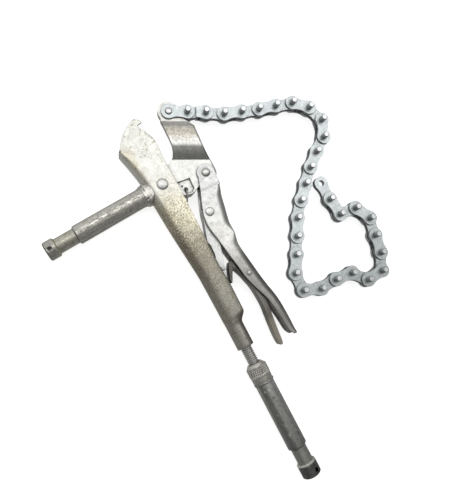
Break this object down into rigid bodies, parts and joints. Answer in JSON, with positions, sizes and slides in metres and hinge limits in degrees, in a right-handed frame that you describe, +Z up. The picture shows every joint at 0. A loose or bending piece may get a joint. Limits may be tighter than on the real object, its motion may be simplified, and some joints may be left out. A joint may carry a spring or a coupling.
{
  "type": "locking chain pliers",
  "caption": "Locking pliers with a formed steel handle, an over-centre lever, a jaw that carries a roller chain, an adjusting screw with a knurled knob, and two turned spigots for a stand.",
  "frame": {"origin": "centre of the bounding box of the tool and its chain as they lie, on the ground under the chain pins", "axes": "+Y from the rear spigot towards the nose, along the handle and screw; +X from the handle towards the lever and the chain; +Z up, along every pivot of the jaw, lever and chain"},
  "size_m": [0.2668, 0.3252, 0.02],
  "materials": {
    "worn_steel": "worn nickel plate, satin",
    "bright_steel": "bright nickel plate, lightly scratched",
    "dark_steel": "dull turned steel",
    "zinc": "zinc plate, satin"
  },
  "bodies": {
    "fixed_handle": {"handle_body": "worn_steel", "rear_nut": "dark_steel", "side_spigot": "worn_steel", "spigot_weld": "worn_steel", "main_pivot_rivet": "bright_steel", "jaw_spring": "dark_steel"},
    "jaw": {"moving_jaw": "bright_steel", "chain_anchor_rivet": "zinc", "jaw_lever_rivet": "bright_steel"},
    "lever": {"lever_handle": "worn_steel", "link_rivet": "bright_steel", "release_rivet": "bright_steel"},
    "toggle": {"toggle_link": "bright_steel", "link_stud": "worn_steel"},
    "release": {"release_lever": "dark_steel"},
    "screw_carrier": {"knob_cone": "worn_steel"},
    "screw": {"adjusting_screw": "worn_steel", "knurled_knob": "dark_steel", "knob_weld": "worn_steel", "rear_spigot": "dark_steel"},
    "link_01": {"chain_link_01": "zinc"},
    "link_02": {"chain_link_02": "zinc"},
    "link_03": {"chain_link_03": "zinc"},
    "link_04": {"chain_link_04": "zinc"},
    "link_05": {"chain_link_05": "zinc"},
    "link_06": {"chain_link_06": "zinc"},
    "link_07": {"chain_link_07": "zinc"},
    "link_08": {"chain_link_08": "zinc"},
    "link_09": {"chain_link_09": "zinc"},
    "link_10": {"chain_link_10": "zinc"},
    "link_11": {"chain_link_11": "zinc"},
    "link_12": {"chain_link_12": "zinc"},
    "link_13": {"chain_link_13": "zinc"},
    "link_14": {"chain_link_14": "zinc"},
    "link_15": {"chain_link_15": "zinc"},
    "link_16": {"chain_link_16": "zinc"},
    "link_17": {"chain_link_17": "zinc"},
    "link_18": {"chain_link_18": "zinc"},
    "link_19": {"chain_link_19": "zinc"},
    "link_20": {"chain_link_20": "zinc"},
    "link_21": {"chain_link_21": "zinc"},
    "link_22": {"chain_link_22": "zinc"},
    "link_23": {"chain_link_23": "zinc"},
    "link_24": {"chain_link_24": "zinc"},
    "link_25": {"chain_link_25": "zinc"},
    "link_26": {"chain_link_26": "zinc"},
    "link_27": {"chain_link_27": "zinc"},
    "link_28": {"chain_link_28": "zinc"},
    "link_29": {"chain_link_29": "zinc"},
    "link_30": {"chain_link_30": "zinc"},
    "link_31": {"chain_link_31": "zinc"}
  },
  "joints": [
    {"name": "jaw_pivot", "type": "hinge", "parent": "fixed_handle", "child": "jaw", "pos_m": [-0.0297, 0.1003, 0.01], "axis": [0, 0, 1], "range_deg": [-12, 0]},
    {"name": "lever_pivot", "type": "hinge", "parent": "jaw", "child": "lever", "pos_m": [0.0071, 0.0943, 0.01], "axis": [0, 0, 1], "range_deg": [0, 50.6]},
    {"name": "link_pivot", "type": "hinge", "parent": "lever", "child": "toggle", "pos_m": [-0.0056, 0.0635, 0.01], "axis": [0, 0, 1], "range_deg": [-54.1, 0]},
    {"name": "release_pivot", "type": "hinge", "parent": "lever", "child": "release", "pos_m": [-0.0002, 0.0046, 0.01], "axis": [0, 0, 1], "range_deg": [-4, 2]},
    {"name": "screw_travel", "type": "slide", "parent": "fixed_handle", "child": "screw_carrier", "axis": [0, -1, 0], "range_m": [-0.00159, 0.00794]},
    {"name": "screw_turn", "type": "hinge", "parent": "screw_carrier", "child": "screw", "pos_m": [-0.0297, -0.0697, 0.01], "axis": [0, -1, 0], "range_deg": [-360, 1800]},
    {"name": "chain_01", "type": "hinge", "parent": "jaw", "child": "link_01", "pos_m": [0.0045, 0.155, 0.01], "axis": [0, 0, 1], "range_deg": [0, 48.1]},
    {"name": "chain_02", "type": "hinge", "parent": "link_01", "child": "link_02", "pos_m": [0.019, 0.14854, 0.01], "axis": [0, 0, 1], "range_deg": [0, 12]},
    {"name": "chain_03", "type": "hinge", "parent": "link_02", "child": "link_03", "pos_m": [0.03339, 0.14183, 0.01], "axis": [0, 0, 1], "range_deg": [0, 12]},
    {"name": "chain_04", "type": "hinge", "parent": "link_03", "child": "link_04", "pos_m": [0.04741, 0.13438, 0.01], "axis": [0, 0, 1], "range_deg": [0, 12]},
    {"name": "chain_05", "type": "hinge", "parent": "link_04", "child": "link_05", "pos_m": [0.06267, 0.13001, 0.01], "axis": [0, 0, 1], "range_deg": [0, 12]},
    {"name": "chain_06", "type": "hinge", "parent": "link_05", "child": "link_06", "pos_m": [0.078, 0.1259, 0.01], "axis": [0, 0, 1], "range_deg": [0, 12]},
    {"name": "chain_07", "type": "hinge", "parent": "link_06", "child": "link_07", "pos_m": [0.09353, 0.1226, 0.01], "axis": [0, 0, 1], "range_deg": [0, 12]},
    {"name": "chain_08", "type": "hinge", "parent": "link_07", "child": "link_08", "pos_m": [0.109, 0.11903, 0.01], "axis": [0, 0, 1], "range_deg": [0, 40]},
    {"name": "chain_09", "type": "hinge", "parent": "link_08", "child": "link_09", "pos_m": [0.12133, 0.10903, 0.01], "axis": [0, 0, 1], "range_deg": [0, 40]},
    {"name": "chain_10", "type": "hinge", "parent": "link_09", "child": "link_10", "pos_m": [0.12676, 0.09412, 0.01], "axis": [0, 0, 1], "range_deg": [0, 50]},
    {"name": "chain_11", "type": "hinge", "parent": "link_10", "child": "link_11", "pos_m": [0.12031, 0.07961, 0.01], "axis": [0, 0, 1], "range_deg": [0, 40]},
    {"name": "chain_12", "type": "hinge", "parent": "link_11", "child": "link_12", "pos_m": [0.1073, 0.07051, 0.01], "axis": [0, 0, 1], "range_deg": [0, 15]},
    {"name": "chain_13", "type": "hinge", "parent": "link_12", "child": "link_13", "pos_m": [0.09497, 0.06052, 0.01], "axis": [0, 0, 1], "range_deg": [0, 15]},
    {"name": "chain_14", "type": "hinge", "parent": "link_13", "child": "link_14", "pos_m": [0.08355, 0.04949, 0.01], "axis": [0, 0, 1], "range_deg": [0, 5]},
    {"name": "chain_15", "type": "hinge", "parent": "link_14", "child": "link_15", "pos_m": [0.07232, 0.03827, 0.01], "axis": [0, 0, -1], "range_deg": [0, 14]},
    {"name": "chain_16", "type": "hinge", "parent": "link_15", "child": "link_16", "pos_m": [0.06191, 0.02628, 0.01], "axis": [0, 0, -1], "range_deg": [0, 18]},
    {"name": "chain_17", "type": "hinge", "parent": "link_16", "child": "link_17", "pos_m": [0.05373, 0.01268, 0.01], "axis": [0, 0, -1], "range_deg": [0, 25]},
    {"name": "chain_18", "type": "hinge", "parent": "link_17", "child": "link_18", "pos_m": [0.04532, -0.00079, 0.01], "axis": [0, 0, -1], "range_deg": [0, 40]},
    {"name": "chain_19", "type": "hinge", "parent": "link_18", "child": "link_19", "pos_m": [0.03667, -0.0141, 0.01], "axis": [0, 0, -1], "range_deg": [0, 45]},
    {"name": "chain_20", "type": "hinge", "parent": "link_19", "child": "link_20", "pos_m": [0.03612, -0.02996, 0.01], "axis": [0, 0, -1], "range_deg": [0, 60]},
    {"name": "chain_21", "type": "hinge", "parent": "link_20", "child": "link_21", "pos_m": [0.05084, -0.03591, 0.01], "axis": [0, 0, -1], "range_deg": [0, 40]},
    {"name": "chain_22", "type": "hinge", "parent": "link_21", "child": "link_22", "pos_m": [0.0667, -0.03536, 0.01], "axis": [0, 0, -1], "range_deg": [0, 15]},
    {"name": "chain_23", "type": "hinge", "parent": "link_22", "child": "link_23", "pos_m": [0.08246, -0.03729, 0.01], "axis": [0, 0, -1], "range_deg": [0, 10]},
    {"name": "chain_24", "type": "hinge", "parent": "link_23", "child": "link_24", "pos_m": [0.09287, -0.04927, 0.01], "axis": [0, 0, -1], "range_deg": [0, 55]},
    {"name": "chain_25", "type": "hinge", "parent": "link_24", "child": "link_25", "pos_m": [0.10873, -0.04844, 0.01], "axis": [0, 0, -1], "range_deg": [0, 60]},
    {"name": "chain_26", "type": "hinge", "parent": "link_25", "child": "link_26", "pos_m": [0.11593, -0.0343, 0.01], "axis": [0, 0, -1], "range_deg": [0, 30]},
    {"name": "chain_27", "type": "hinge", "parent": "link_26", "child": "link_27", "pos_m": [0.11923, -0.01877, 0.01], "axis": [0, 0, -1], "range_deg": [0, 15]},
    {"name": "chain_28", "type": "hinge", "parent": "link_27", "child": "link_28", "pos_m": [0.12254, -0.00324, 0.01], "axis": [0, 0, -1], "range_deg": [0, 50]},
    {"name": "chain_29", "type": "hinge", "parent": "link_28", "child": "link_29", "pos_m": [0.11484, 0.01064, 0.01], "axis": [0, 0, -1], "range_deg": [0, 60]},
    {"name": "chain_30", "type": "hinge", "parent": "link_29", "child": "link_30", "pos_m": [0.09902, 0.01203, 0.01], "axis": [0, 0, -1], "range_deg": [0, 10]},
    {"name": "chain_31", "type": "hinge", "parent": "link_30", "child": "link_31", "pos_m": [0.09709, 0.02778, 0.01], "axis": [0, 0, -1], "range_deg": [0, 20]}
  ],
  "couplings": [
    {"joint": "lever_pivot", "follows": "jaw_pivot", "ratio": -4.2058},
    {"joint": "link_pivot", "follows": "jaw_pivot", "ratio": 4.5},
    {"joint": "chain_01", "follows": "jaw_pivot", "ratio": -4},
    {"joint": "screw_turn", "follows": "screw_travel", "rad_per_m": 3957.9}
  ]
}
